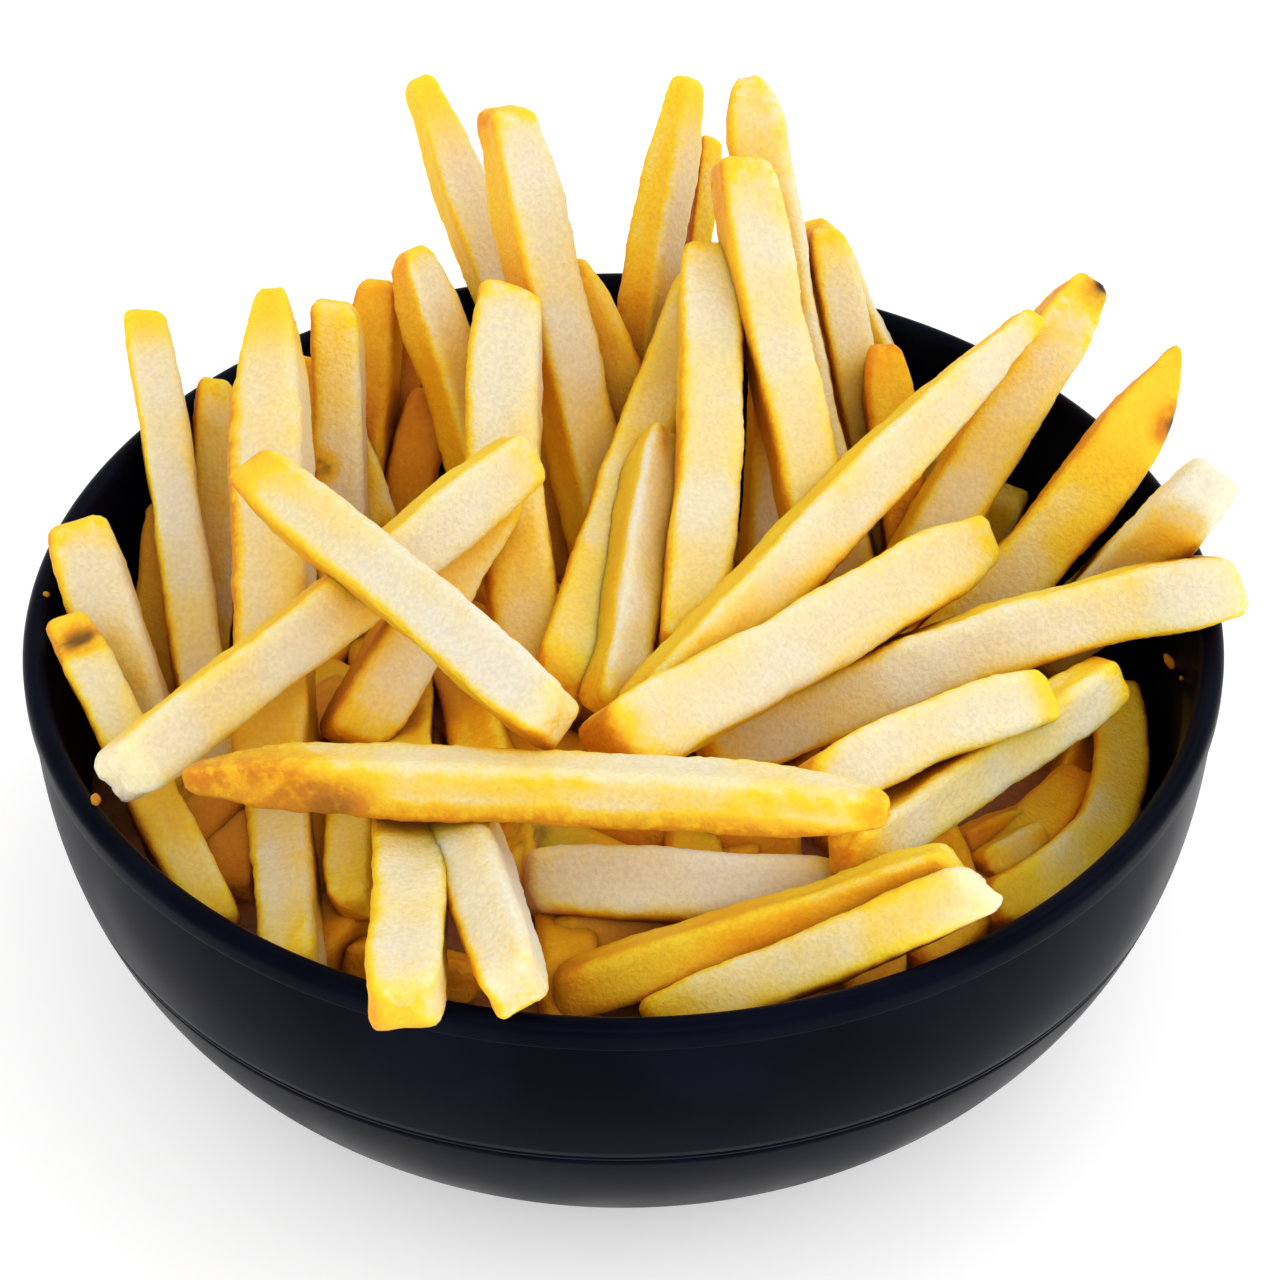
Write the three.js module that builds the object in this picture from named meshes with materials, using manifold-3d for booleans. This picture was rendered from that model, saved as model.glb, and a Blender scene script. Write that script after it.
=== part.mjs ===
// A round bowl heaped with french fries.
// Millimetres, +Z up. The origin is the middle of the bowl's flat base, and +Y is the back.
// The bowl is one turned body. The heap is one solid: a core that fills the bowl up to a
// low dome, and the fries that show, each at its own size and lying on what is under it.
import * as THREE from 'three';
import { mergeVertices } from 'three/addons/utils/BufferGeometryUtils.js';
import Module from 'manifold-3d';

// Bowl
const bowlHeight = 59;
const rimRadius = 80;
const baseRadius = 40;
const bandHeight = 3.6;
const bandStep = 0.7;
const wallThickness = 4;
const rimThickness = 3.3;
const floorThickness = 4.5;
const wallBulge = 2.35;
const wallRoundness = 1.76;
const turnSegments = 48;

// Core of the heap: a dome that drops towards the back and the right
const coreMiddle = 43;
const coreDrop = 14;
const coreRadius = 72;
const coreTiltX = 0.06;
const coreTiltY = 0.17;
const coreSteepness = 0.8;
const coreRings = 4;
const heapGap = 0.3;

// The fries are laid out on a sloping sheet that faces the front of the bowl. A point on it
// has u to the right and v up the slope, and w is its depth along the line to the sheet's eye.
const sheetEye = 603;
const sheetSlope = THREE.MathUtils.degToRad(39.4);
const sheetCentre = new THREE.Vector3(2.2, 0, 53.9);
const slopeSin = Math.sin(sheetSlope);
const slopeCos = Math.cos(sheetSlope);

// How a fry is placed and shaped
const startDepth = 110;
const endDepth = -110;
const rimSearchDepth = 75;
const searchStep = 0.5;
const placingSteps = 14;
const cornerReach = 1.09;
const clearance = 0.35;
const coreSink = 0.75;
const buriedSink = 0.1;
const frySink = 0.94;
const rootLimit = 45;
const endTaper = 10;
const endScale = 0.92;
const endRounding = 0.82;
const endRoundingLength = 2.5;
const sectionChamfer = 0.43;
const plainSection = 0.93;

// Fries hidden under the others, half sunk in the core
const underCount = 28;
const underSpread = 60;
const underCentre = -2;
const underHalfLength = 24;
const underHalfLengthSpread = 8;
const underWidth = 8;
const underWidthSpread = 1.2;
const underRise = 1.5;
const underWallGap = 3;
const goldenAngle = Math.PI * (3 - Math.sqrt(5));

function outerRadius(z) {
  const rise = THREE.MathUtils.clamp(z / (bowlHeight - bandHeight), 0, 1);
  const curve = (1 - (1 - rise) ** wallBulge) ** (1 / wallRoundness);
  return baseRadius + (rimRadius - bandStep - baseRadius) * curve;
}

// Half section of the bowl, from the axis under the base to the axis on the floor
function bowlProfile() {
  const bandFoot = bowlHeight - bandHeight;
  const outerHeights = [0, 2, 5, 10, 15, 20, 30, 40, 50, bandFoot];
  const innerHeights = [50, 40, 30, 20, 15, 11, 8];
  return [
    [0, 0],
    ...outerHeights.map((z) => [outerRadius(z), z]),
    [rimRadius, bandFoot],
    [rimRadius, bowlHeight - 1.2],
    [rimRadius - 0.5, bowlHeight - 0.3],
    [rimRadius - 1.6, bowlHeight],
    [rimRadius - 2.6, bowlHeight - 0.3],
    [rimRadius - rimThickness, bowlHeight - 1.2],
    ...innerHeights.map((z) => [outerRadius(z) - wallThickness, z]),
    [baseRadius, floorThickness + 1],
    [0, floorThickness],
  ].map(([r, z]) => new THREE.Vector2(r, z));
}

// The same section, grown outwards by a gap
function grownProfile(profile, gap) {
  const normals = profile.slice(1).map((point, i) => {
    const along = point.clone().sub(profile[i]).normalize();
    return new THREE.Vector2(along.y, -along.x);
  });
  return profile.map((point, i) => {
    const before = normals[Math.max(i - 1, 0)];
    const after = normals[Math.min(i, normals.length - 1)];
    const grown = before.clone().add(after).multiplyScalar(gap / (1 + before.dot(after))).add(point);
    const onAxis = i === 0 || i === profile.length - 1;
    return new THREE.Vector2(onAxis ? 0 : grown.x, grown.y);
  });
}

function turned(profile) {
  return new THREE.LatheGeometry(profile, turnSegments).rotateX(Math.PI / 2);
}

const section = bowlProfile();

// Distance from the bowl's body, negative inside its wall
function bowlDistance(point) {
  const r = Math.hypot(point.x, point.y);
  const spot = new THREE.Vector2(r, point.z);
  let nearest = Infinity;
  let inWall = false;
  section.forEach((a, i) => {
    const b = section[(i + 1) % section.length];
    const side = b.clone().sub(a);
    const along = THREE.MathUtils.clamp(spot.clone().sub(a).dot(side) / side.lengthSq(), 0, 1);
    nearest = Math.min(nearest, spot.distanceTo(side.clone().multiplyScalar(along).add(a)));
    const crosses = a.y > spot.y !== b.y > spot.y;
    if (crosses && r < (side.x * (spot.y - a.y)) / side.y + a.x) inWall = !inWall;
  });
  return inWall ? -nearest : nearest;
}

function coreTop(x, y) {
  return coreMiddle - (coreDrop * (x * x + y * y)) / coreRadius ** 2 - coreTiltX * x - coreTiltY * y;
}

function coreDistance(point) {
  if (Math.hypot(point.x, point.y) > coreRadius) return Infinity;
  return (point.z - coreTop(point.x, point.y)) * coreSteepness;
}

function onSheet(u, v, w) {
  const scale = 1 - w / sheetEye;
  return new THREE.Vector3(
    sheetCentre.x + u * scale,
    sheetCentre.y + v * scale * slopeSin - w * slopeCos,
    sheetCentre.z + v * scale * slopeCos + w * slopeSin,
  );
}

// Depth at which a ball comes to rest on the bowl or the core. It is let in past the front
// rim where the fry lies inside it.
function restingDepth(u, v, ballRadius, fry) {
  const sink = ballRadius * (fry.buried ? buriedSink : coreSink);
  const clearAt = (w) => {
    const point = onSheet(u, v, w);
    const overCore = fry.standing ? Infinity : coreDistance(point) - sink;
    return Math.min(bowlDistance(point) - ballRadius, overCore);
  };
  let w = startDepth;
  if (fry.insideRim) {
    let metRim = false;
    for (w = rimSearchDepth; w > endDepth; w -= searchStep) {
      const point = onSheet(u, v, w);
      const atRim = bowlDistance(point) < ballRadius;
      if (!atRim && (metRim || point.z < bowlHeight - 2 || point.y > -baseRadius)) break;
      metRim = metRim || atRim;
    }
    for (let last = -1; metRim && clearAt(w) > last; w -= searchStep) last = clearAt(w);
  }
  while (w > endDepth) {
    const clear = clearAt(w);
    if (clear < 0.02) return w;
    w -= Math.max(clear, 0.15);
  }
  return -Infinity;
}

// A fry's middle line on the sheet, bowed sideways
function sheetPoint(fry, t) {
  const du = fry.heel[0] - fry.tip[0];
  const dv = fry.heel[1] - fry.tip[1];
  const bow = ((fry.bow ?? 0) * 4 * t * (1 - t)) / Math.hypot(du, dv);
  return [fry.tip[0] + du * t - dv * bow, fry.tip[1] + dv * t + du * bow];
}

// Depth at which a fry laid before holds up a ball at this place, if it passes under it
function depthOnFry(below, u, v, width) {
  const du = below.heel[0] - below.tip[0];
  const dv = below.heel[1] - below.tip[1];
  const s = ((u - below.tip[0]) * du + (v - below.tip[1]) * dv) / (du * du + dv * dv);
  if (s < -0.1 || s > 1.1) return -Infinity;
  const t = THREE.MathUtils.clamp(s, 0, 1);
  const [lineU, lineV] = sheetPoint(below, t);
  const reach = ((width + below.width) / 2) * frySink;
  const away = Math.hypot(u - lineU, v - lineV);
  if (away >= reach) return -Infinity;
  return THREE.MathUtils.lerp(below.tipDepth, below.heelDepth, t) + Math.sqrt(reach ** 2 - away ** 2);
}

// Where a fry would rest along its length: pairs of how far along and how deep
function supports(fry, laid) {
  const ballRadius = (fry.width / 2) * cornerReach + clearance;
  const under = fry.buried ? [] : laid.filter((other) => !other.buried);
  return Array.from({ length: placingSteps + 1 }, (_, k) => {
    const t = k / placingSteps;
    const [u, v] = sheetPoint(fry, t);
    const depths = under.map((other) => depthOnFry(other, u, v, fry.width));
    return [t, Math.max(restingDepth(u, v, ballRadius, fry), ...depths)];
  }).filter(([, depth]) => depth > endDepth);
}

// With a lean, the fry drops at that slope until it touches. Without one it comes to rest
// on two supports, one on each side of its middle. Its ends may sink a little into what they
// lie on, which joins them to it.
function settle(fry, laid) {
  const rests = supports(fry, laid);
  if (fry.lean !== undefined) {
    const middle = Math.max(...rests.map(([t, depth]) => depth - (0.5 - t) * fry.lean));
    return { ...fry, tipDepth: middle + fry.lean / 2, heelDepth: middle - fry.lean / 2 };
  }
  let highest = { middle: -Infinity };
  for (const [t0, depth0] of rests.filter(([t]) => t <= 0.5)) {
    for (const [t1, depth1] of rests.filter(([t]) => t >= 0.5)) {
      const slope = t1 > t0 ? (depth1 - depth0) / (t1 - t0) : 0;
      const middle = depth0 + slope * (0.5 - t0);
      if (middle > highest.middle) highest = { middle, slope };
    }
  }
  const { middle, slope } = highest;
  const tipDepth = middle - slope / 2 - (fry.tipSink ?? 0);
  const heelDepth = middle + slope / 2 - (fry.heelSink ?? 0);
  return { ...fry, tipDepth, heelDepth };
}

// A point of a laid fry's middle line. Beyond 1 it runs on past the heel.
function linePoint(fry, t) {
  return onSheet(...sheetPoint(fry, t), THREE.MathUtils.lerp(fry.tipDepth, fry.heelDepth, t));
}

// A rooted fry's hidden heel runs on down until it is in the core
function rooted(fry) {
  const length = linePoint(fry, 0).distanceTo(linePoint(fry, 1));
  let t = 1;
  while ((t - 1) * length < rootLimit) {
    const point = linePoint(fry, t);
    if (coreDistance(point) < 0 || bowlDistance(point) < fry.width / 2) break;
    t += 1 / length;
  }
  return {
    ...fry,
    heel: [fry.tip[0] + (fry.heel[0] - fry.tip[0]) * t, fry.tip[1] + (fry.heel[1] - fry.tip[1]) * t],
    heelDepth: fry.tipDepth + (fry.heelDepth - fry.tipDepth) * t,
  };
}

const fries = [];

function kind(shared) {
  return (tip, heel, width, own = {}) => {
    const fry = settle({ tip, heel, width, ...shared, ...own }, fries);
    fries.push(shared.root ? rooted(fry) : fry);
  };
}

const buried = kind({ buried: true, insideRim: true });
const standing = kind({ standing: true, root: true, lean: 0 });
const leaning = kind({ root: true });
const lying = kind({});
const behindRim = kind({ insideRim: true });

// Seen only in the gaps, half sunk in the core
buried([-39.5, -42.5], [-21.5, -46.5], 7.5);
buried([-13, -41], [16, -38.5], 8.5);
buried([-55.5, -21.5], [-54, -34.5], 6.5);
buried([-62.5, 18.5], [-65.5, -12], 8);
buried([60, -13], [56.5, -22.5], 6.6);
buried([55, -23.5], [43, -28], 6);
buried([-11, -26.5], [21.5, -28], 8);
buried([-17, -21.5], [-16, -37.5], 7.5);
buried([-13.5, 41], [-8.5, 6.5], 8);
buried([32.5, 20], [25, 2.5], 8);
buried([50, 20], [41.5, 2.5], 6.5);

// Standing against the back wall
standing([-32, 43], [-33.5, 19], 7.5);
standing([-28, 33], [-32.5, 16], 7.5);
standing([9, 67.5], [6.5, 45.5], 5);
standing([-29.8, 75.5], [-15.6, 39], 8.4, { tipScale: 0.55, taper: 20 });
standing([6.5, 75.5], [-1, 33.5], 8.3, { tipScale: 0.6, taper: 18 });
standing([-11, 50], [2, 24], 9);
standing([23, 56.5], [35, 29.5], 8, { tipScale: 0.6 });
standing([24, 55.5], [30.5, 27], 7.6, { tipScale: 0.7 });
standing([32.5, 39.5], [34.5, 24], 7.2, { tipScale: 0.7 });
standing([14.5, 75.5], [25, 27], 9.2, { bow: -1.5, tipScale: 0.45, taper: 9 });
standing([-34.8, 48.4], [-37.5, 25.5], 8.4, { tipScale: 0.7 });
standing([-57, 34.8], [-57.5, 13.5], 6.8, { tipScale: 0.8 });
standing([-45, 38], [-45, 16], 5.5);
standing([-31, 52.5], [-23, 27], 9.2, { tipScale: 0.6 });
standing([-18.3, 71.6], [-4.6, 13.5], 11.2, { tipScale: 0.78, taper: 22 });
lying([-41, 30.5], [-34.5, 14.5], 6.5);
standing([-41, 45.5], [-38.5, -10], 7.6);

// Middle of the heap, tips to the back
lying([-17, 47], [-12.3, -8], 10.2, { bow: -3 });
lying([19, 37.5], [17.8, 4], 9.8);
lying([8, 47.5], [-11.3, -7], 8.2);
lying([2.9, 27.8], [-4.3, -9.5], 8.8, { tipScale: 0.6 });
lying([9.6, 52.5], [6, -3.5], 9.5, { bow: 1 });
lying([13.2, 64.5], [24.3, 13], 9.8);

// Left side
behindRim([-48.5, -13], [-46.6, -46], 8.4);
behindRim([-38.5, -15.5], [-38.5, -36.5], 7.4);
leaning([-66.5, 43.5], [-57.5, -13.5], 7.6, { tipScale: 0.8, taper: 16 });
leaning([-75.6, 15.5], [-65.2, -17], 9.4, { tipScale: 0.85 });
lying([-49.2, 46.5], [-49.4, -19], 11.2, { tipScale: 0.42, taper: 26 });
behindRim([-77, 2.4], [-56.3, -39.5], 7.8, { tipScale: 0.8 });
lying([-31.5, 5.5], [-31.5, -21.5], 7.6);
lying([-27, 6.5], [-19, -21.5], 8);
lying([-39.2, -14], [-19.5, 20], 10.4);

// Right side, fanned out over the rim
leaning([60.4, 48.3], [34.4, 5.8], 9.8, { tipScale: 0.58, taper: 13 });
lying([72.3, 39.3], [38, -3.3], 9.6, { tipScale: 0.15, taper: 16, bow: 3, heelSink: 2 });
leaning([76.6, 20.6], [54.4, -2], 9.4, { tipScale: 0.72, taper: 8 });
lying([52.9, 43.6], [1, -9.5], 9.8, { tipScale: 0.42, taper: 55, bow: -0.1 });
lying([81, 7.5], [8.5, -16], 9.8, { bow: -3 });
lying([46, 13.2], [-4.5, -15], 11, { tipScale: 0.62, taper: 14 });

// The crossed pair on the left
lying([-70, -18.7], [-14.8, 25.2], 9.6);
lying([-51.9, 22.6], [-11, -11], 9.2, { tipScale: 0.8, taper: 15 });

// Front, inside the rim
behindRim([54, -26.5], [46, -31], 5.8);
behindRim([63.5, -7], [46.5, -36], 8.4, { bow: 7.8 });
lying([-15.5, -32.7], [30.5, -34.3], 10.6);
lying([64, -4.5], [27, -29.5], 9.2, { roll: 45 });
lying([55.3, -7.2], [23, -20.4], 8.8, { tipScale: 0.85, bow: -1.2 });
behindRim([-11.5, -48], [43, -30], 7.8);
behindRim([1.5, -52], [46.5, -33], 8.6);

// Two hung over the front rim, and the long one across them
lying([-30, -18], [-31.9, -49.6], 9.4, { tipSink: 1.5 });
lying([-24.3, -23], [-16.7, -47.7], 9);
lying([-61, -18.5], [33.5, -23], 9.3, { tipScale: 0.4, taper: 18, heelScale: 0.5, heelTaper: 20, bow: 1.3 });

// Closed body from rings of points, with a point at the middle of each end ring
function lofted(rings) {
  const count = rings[0].length;
  const middleOf = (ring) => ring.reduce((sum, p) => sum.add(p), new THREE.Vector3()).divideScalar(count);
  const corners = [...rings.flat(), middleOf(rings[0]), middleOf(rings.at(-1))];
  const firstMiddle = corners.length - 2;
  const lastMiddle = corners.length - 1;
  const lastRing = (rings.length - 1) * count;
  const faces = [];
  for (let j = 0; j < count; j += 1) {
    const next = (j + 1) % count;
    faces.push(firstMiddle, next, j, lastMiddle, lastRing + j, lastRing + next);
    for (let k = 0; k < lastRing; k += count) {
      faces.push(k + j, k + next, k + count + next, k + j, k + count + next, k + count + j);
    }
  }
  const geometry = new THREE.BufferGeometry().setFromPoints(corners);
  geometry.setIndex(faces);
  return geometry;
}

// Square section with its corners cut, in units of half the fry's width
function squareSection(roll) {
  const corners = [];
  for (const [x, y] of [[1, 1], [-1, 1], [-1, -1], [1, -1]]) {
    const chamfer = [[x, y * sectionChamfer], [x * sectionChamfer, y]];
    corners.push(...(x * y > 0 ? chamfer : chamfer.reverse()));
  }
  return corners.map(([x, y]) => new THREE.Vector2(x, y).rotateAround(new THREE.Vector2(), roll));
}

// A bar along a line, with one ring of its section at each station and its girth there
function bar(pointAt, up, outline, halfWidth, stations, girthAt) {
  const step = 0.01;
  return lofted(stations.map((t) => {
    const along = pointAt(Math.min(t + step, 1)).sub(pointAt(Math.max(t - step, 0))).normalize();
    const across = up.clone().cross(along).normalize();
    const over = along.clone().cross(across);
    const size = halfWidth * girthAt(t);
    return outline.map(({ x, y }) => (
      pointAt(t).addScaledVector(across, x * size).addScaledVector(over, y * size)
    ));
  }));
}

function laidFry(fry, index) {
  const length = linePoint(fry, 0).distanceTo(linePoint(fry, 1));
  const tipTaper = Math.min((fry.taper ?? endTaper) / length, 0.5);
  const heelTaper = Math.min((fry.heelTaper ?? endTaper) / length, 0.5);
  const ease = (reach) => Math.sin((Math.min(reach, 1) * Math.PI) / 2);
  const girthAt = (t) => {
    const atTip = THREE.MathUtils.lerp(fry.tipScale ?? endScale, 1, ease(t / tipTaper));
    const atHeel = THREE.MathUtils.lerp(fry.heelScale ?? endScale, 1, ease((1 - t) / heelTaper));
    return atTip * atHeel * (t === 0 || t === 1 ? endRounding : 1);
  };
  const rounding = endRoundingLength / length;
  const tipStations = fry.buried ? [] : [rounding, tipTaper];
  const bends = fry.bow ? [1 / 3, 2 / 3] : [];
  const heelStations = fry.buried || fry.root ? [] : [1 - heelTaper, 1 - rounding];
  const stations = [0, ...tipStations, ...bends, ...heelStations, 1]
    .sort((a, b) => a - b)
    .filter((t, i, all) => i === 0 || t - all[i - 1] > rounding / 2);
  const towardsEye = new THREE.Vector3(0, -slopeCos, slopeSin);
  const roll = THREE.MathUtils.degToRad(fry.roll ?? ((index * 5) % 7 - 3) * 5);
  return bar((t) => linePoint(fry, t), towardsEye, squareSection(roll), fry.width / 2, stations, girthAt);
}

// Fries at spots of a sunflower pattern, pointing any way, with their ends kept off the wall
function underFries() {
  let seed = 7;
  const random = () => {
    seed = (seed * 16807) % 2147483647;
    return seed / 2147483647;
  };
  return Array.from({ length: underCount }, (_, i) => {
    const spread = underSpread * Math.sqrt((i + 0.5) / underCount);
    const x = underCentre + spread * Math.cos(i * goldenAngle);
    const y = underCentre + spread * Math.sin(i * goldenAngle);
    const turn = random() * Math.PI;
    const half = underHalfLength + underHalfLengthSpread * random();
    const width = underWidth + underWidthSpread * random();
    const [tip, heel] = [-half, half].map((reach) => {
      const end = new THREE.Vector3(x + reach * Math.cos(turn), y + reach * Math.sin(turn), 0);
      end.z = coreTop(end.x, end.y) + underRise;
      const roomAt = (z) => outerRadius(z) - wallThickness - width / 2 - underWallGap;
      while (Math.hypot(end.x, end.y) > roomAt(end.z)) {
        end.multiplyScalar(0.98);
        end.z = coreTop(end.x, end.y) + underRise;
      }
      return end;
    });
    const square = [[1, 1], [-1, 1], [-1, -1], [1, -1]].map(([cx, cy]) => new THREE.Vector2(cx, cy));
    const up = new THREE.Vector3(0, 0, 1);
    return bar((t) => tip.clone().lerp(heel, t), up, square, width / 2, [0, 1], () => plainSection);
  });
}

// The core runs a little into the wall, and the bowl is cut out of it afterwards
function coreBody() {
  const intoWall = 0.8;
  const heights = [8, 11, 15, 20, 30, 40];
  const ring = (radius, heightAt) => Array.from({ length: turnSegments }, (_, j) => {
    const turn = (j / turnSegments) * Math.PI * 2;
    const x = radius * Math.cos(turn);
    const y = radius * Math.sin(turn);
    return new THREE.Vector3(x, y, heightAt(x, y));
  });
  const wallRing = (z) => {
    const radius = outerRadius(z) - wallThickness + intoWall;
    return ring(radius, (x, y) => Math.min(z, coreTop(x, y)));
  };
  const topRings = Array.from({ length: coreRings }, (_, k) => (
    ring(coreRadius * (1 - k / coreRings), coreTop)
  ));
  return lofted([ring(baseRadius, () => floorThickness), ...heights.map(wallRing), ...topRings]);
}

const wasm = await Module();
wasm.setup();

function solid(geometry) {
  const bare = geometry.clone();
  bare.deleteAttribute('normal');
  bare.deleteAttribute('uv');
  const merged = mergeVertices(bare);
  const mesh = new wasm.Mesh({
    numProp: 3,
    vertProperties: new Float32Array(merged.attributes.position.array),
    triVerts: new Uint32Array(merged.index.array),
  });
  mesh.merge();
  return new wasm.Manifold(mesh);
}

function geometryOf(body) {
  const mesh = body.getMesh();
  const geometry = new THREE.BufferGeometry();
  geometry.setAttribute('position', new THREE.BufferAttribute(mesh.vertProperties, 3));
  geometry.setIndex(new THREE.BufferAttribute(mesh.triVerts, 1));
  geometry.computeVertexNormals();
  return geometry;
}

// Everything in the bowl as one body, a gap clear of it, without scraps or sealed hollows
function heapGeometry() {
  const pieces = [...fries.map(laidFry), ...underFries()].map(solid);
  const joined = pieces.reduce((heap, piece) => heap.add(piece), solid(coreBody()));
  const clear = joined.subtract(solid(turned(grownProfile(section, heapGap))));
  const [largest] = clear.decompose().sort((a, b) => b.volume() - a.volume());
  return geometryOf(largest);
}

const bowlGlaze = new THREE.MeshStandardMaterial({ color: 0x17191f, roughness: 0.4, metalness: 0 });
const friedPotato = new THREE.MeshStandardMaterial({ color: 0xecc983, roughness: 0.6, metalness: 0 });

const bowl = new THREE.Mesh(turned(section), bowlGlaze);
bowl.name = 'bowl';

const heap = new THREE.Mesh(heapGeometry(), friedPotato);
heap.name = 'fries';

const group = new THREE.Group();
group.add(bowl, heap);

export default group;
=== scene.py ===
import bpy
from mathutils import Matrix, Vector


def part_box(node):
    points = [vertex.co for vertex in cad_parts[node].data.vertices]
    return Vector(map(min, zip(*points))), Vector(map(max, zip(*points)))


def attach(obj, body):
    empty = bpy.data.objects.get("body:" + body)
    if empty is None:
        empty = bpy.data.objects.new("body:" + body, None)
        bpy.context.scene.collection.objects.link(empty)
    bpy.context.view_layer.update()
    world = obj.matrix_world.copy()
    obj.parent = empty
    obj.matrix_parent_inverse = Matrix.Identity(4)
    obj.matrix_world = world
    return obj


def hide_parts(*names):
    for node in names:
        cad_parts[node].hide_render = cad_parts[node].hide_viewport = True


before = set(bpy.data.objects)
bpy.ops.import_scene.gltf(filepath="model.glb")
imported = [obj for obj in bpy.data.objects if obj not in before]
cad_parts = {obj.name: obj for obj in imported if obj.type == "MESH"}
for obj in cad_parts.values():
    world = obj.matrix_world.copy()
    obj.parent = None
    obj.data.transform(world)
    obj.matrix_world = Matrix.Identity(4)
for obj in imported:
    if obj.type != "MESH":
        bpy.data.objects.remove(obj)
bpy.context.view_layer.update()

import math

import bmesh
import bpy
import numpy as np
from mathutils import Vector

mm = 0.001
bowlBox = [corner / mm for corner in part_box("bowl")]


def blend(a, b, t):
    return a + (b - a) * t


def clamp(value, low=0.0, high=1.0):
    return min(max(value, low), high)


def smooth(t):
    t = np.clip(t, 0, 1)
    return t * t * (3 - 2 * t)


def meshObject(name, points, faces, edges=()):
    mesh = bpy.data.meshes.new(name)
    mesh.from_pydata([tuple(p) for p in points], edges, faces)
    mesh.update()
    thing = bpy.data.objects.new(name, mesh)
    bpy.context.scene.collection.objects.link(thing)
    return thing


def storeField(mesh, name, values):
    values = np.asarray(values, dtype=np.float32)
    isVector = values.ndim == 2
    field = mesh.attributes.new(name, "FLOAT_VECTOR" if isVector else "FLOAT", "POINT")
    field.data.foreach_set("vector" if isVector else "value", values.ravel())


def readField(mesh, name):
    field = mesh.attributes[name]
    isVector = field.data_type == "FLOAT_VECTOR"
    values = np.zeros(len(mesh.vertices) * (3 if isVector else 1), dtype=np.float32)
    field.data.foreach_get("vector" if isVector else "value", values)
    return values.reshape(-1, 3) if isVector else values


def shadeSmooth(mesh):
    mesh.polygons.foreach_set("use_smooth", np.ones(len(mesh.polygons), dtype=bool))


def finishPiece(piece, slotName, *nodes):
    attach(piece, "root")
    if nodes:
        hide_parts(*nodes)


# Adds a node, with its input values by name and its own settings as keywords
def addNode(tree, kind, values=None, **settings):
    node = tree.nodes.new(kind)
    for name, value in settings.items():
        setattr(node, name, value)
    for name, value in (values or {}).items():
        if isinstance(value, bpy.types.NodeSocket):
            tree.links.new(value, node.inputs[name])
        else:
            node.inputs[name].default_value = value
    return node


def addMath(tree, operation, a, b=0.0):
    return addNode(tree, "ShaderNodeMath", {0: a, 1: b}, operation=operation).outputs[0]


def addVector(tree, operation, a, b):
    slot = 3 if operation == "SCALE" else 1
    node = addNode(tree, "ShaderNodeVectorMath", {0: a, slot: b}, operation=operation)
    return node.outputs["Value" if operation == "DOT_PRODUCT" else "Vector"]


def addRamp(tree, value, low, high, toLow=0.0, toHigh=1.0):
    names = {"Value": value, "From Min": low, "From Max": high, "To Min": toLow, "To Max": toHigh}
    return addNode(tree, "ShaderNodeMapRange", names, interpolation_type="SMOOTHSTEP").outputs[0]


def addMix(tree, factor, a, b):
    return addNode(tree, "ShaderNodeMix", {0: factor, 6: a, 7: b}, data_type="RGBA").outputs[2]


def newTree(name, kind, inputs, outputs):
    tree = bpy.data.node_groups.new(name, kind)
    for socketName, socketKind, value in inputs:
        socket = tree.interface.new_socket(socketName, in_out="INPUT", socket_type=socketKind)
        if value is not None:
            socket.default_value = value
    for socketName, socketKind in outputs:
        tree.interface.new_socket(socketName, in_out="OUTPUT", socket_type=socketKind)
    return tree, tree.nodes.new("NodeGroupInput").outputs, tree.nodes.new("NodeGroupOutput")


# Runs a geometry tree on an object and leaves its result as a plain mesh
def bakeTree(thing, tree, values):
    modifier = thing.modifiers.new(tree.name, "NODES")
    modifier.node_group = tree
    for item in tree.interface.items_tree:
        if item.item_type == "SOCKET" and item.in_out == "INPUT" and item.name in values:
            modifier[item.identifier] = values[item.name]
    evaluated = thing.evaluated_get(bpy.context.evaluated_depsgraph_get())
    mesh = bpy.data.meshes.new_from_object(evaluated)
    mesh.name = thing.name
    thing.modifiers.clear()
    old = thing.data
    thing.data = mesh
    bpy.data.meshes.remove(old)


# The sheet is the sloping plane that the heap is laid out on. The camera looks at its middle.
sheet = {
    "eye": 603,
    "slope": math.radians(39.4),
    "centre": (2.2, 0.0, 53.9),
}
slopeSin = math.sin(sheet["slope"])
slopeCos = math.cos(sheet["slope"])
towardsEye = np.array([0.0, -slopeCos, slopeSin])


def addCamera():
    lens = {"sensor": 36, "focal": 126.24}
    data = bpy.data.cameras.new("camera")
    data.sensor_width = lens["sensor"]
    data.lens = lens["focal"]
    data.clip_start = 0.01
    camera = bpy.data.objects.new("camera", data)
    camera.location = Vector(np.array(sheet["centre"]) + towardsEye * sheet["eye"]) * mm
    camera.rotation_euler = (math.pi / 2 - sheet["slope"], 0, 0)
    bpy.context.scene.collection.objects.link(camera)
    bpy.context.scene.camera = camera


addCamera()
print("camera placed")


# The bowl's sizes, in millimetres
bowl = {
    "height": bowlBox[1].z,
    "rimRadius": bowlBox[1].x,
    "baseRadius": 40,
    "bandHeight": 3.6,
    "bandStep": 0.7,
    "wall": 4,
    "rim": 3.3,
    "floor": 4.5,
    "bulge": 2.35,
    "roundness": 1.76,
    "grooves": (33.9, 33.1),  # heights of the two fine lines round the wall
    "grooveDepth": 0.1,
    "grooveWidth": 0.28,
    "segments": 288,
}


def outerRadius(z):
    rise = clamp(z / (bowl["height"] - bowl["bandHeight"]))
    curve = (1 - (1 - rise) ** bowl["bulge"]) ** (1 / bowl["roundness"])
    return bowl["baseRadius"] + (bowl["rimRadius"] - bowl["bandStep"] - bowl["baseRadius"]) * curve


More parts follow.
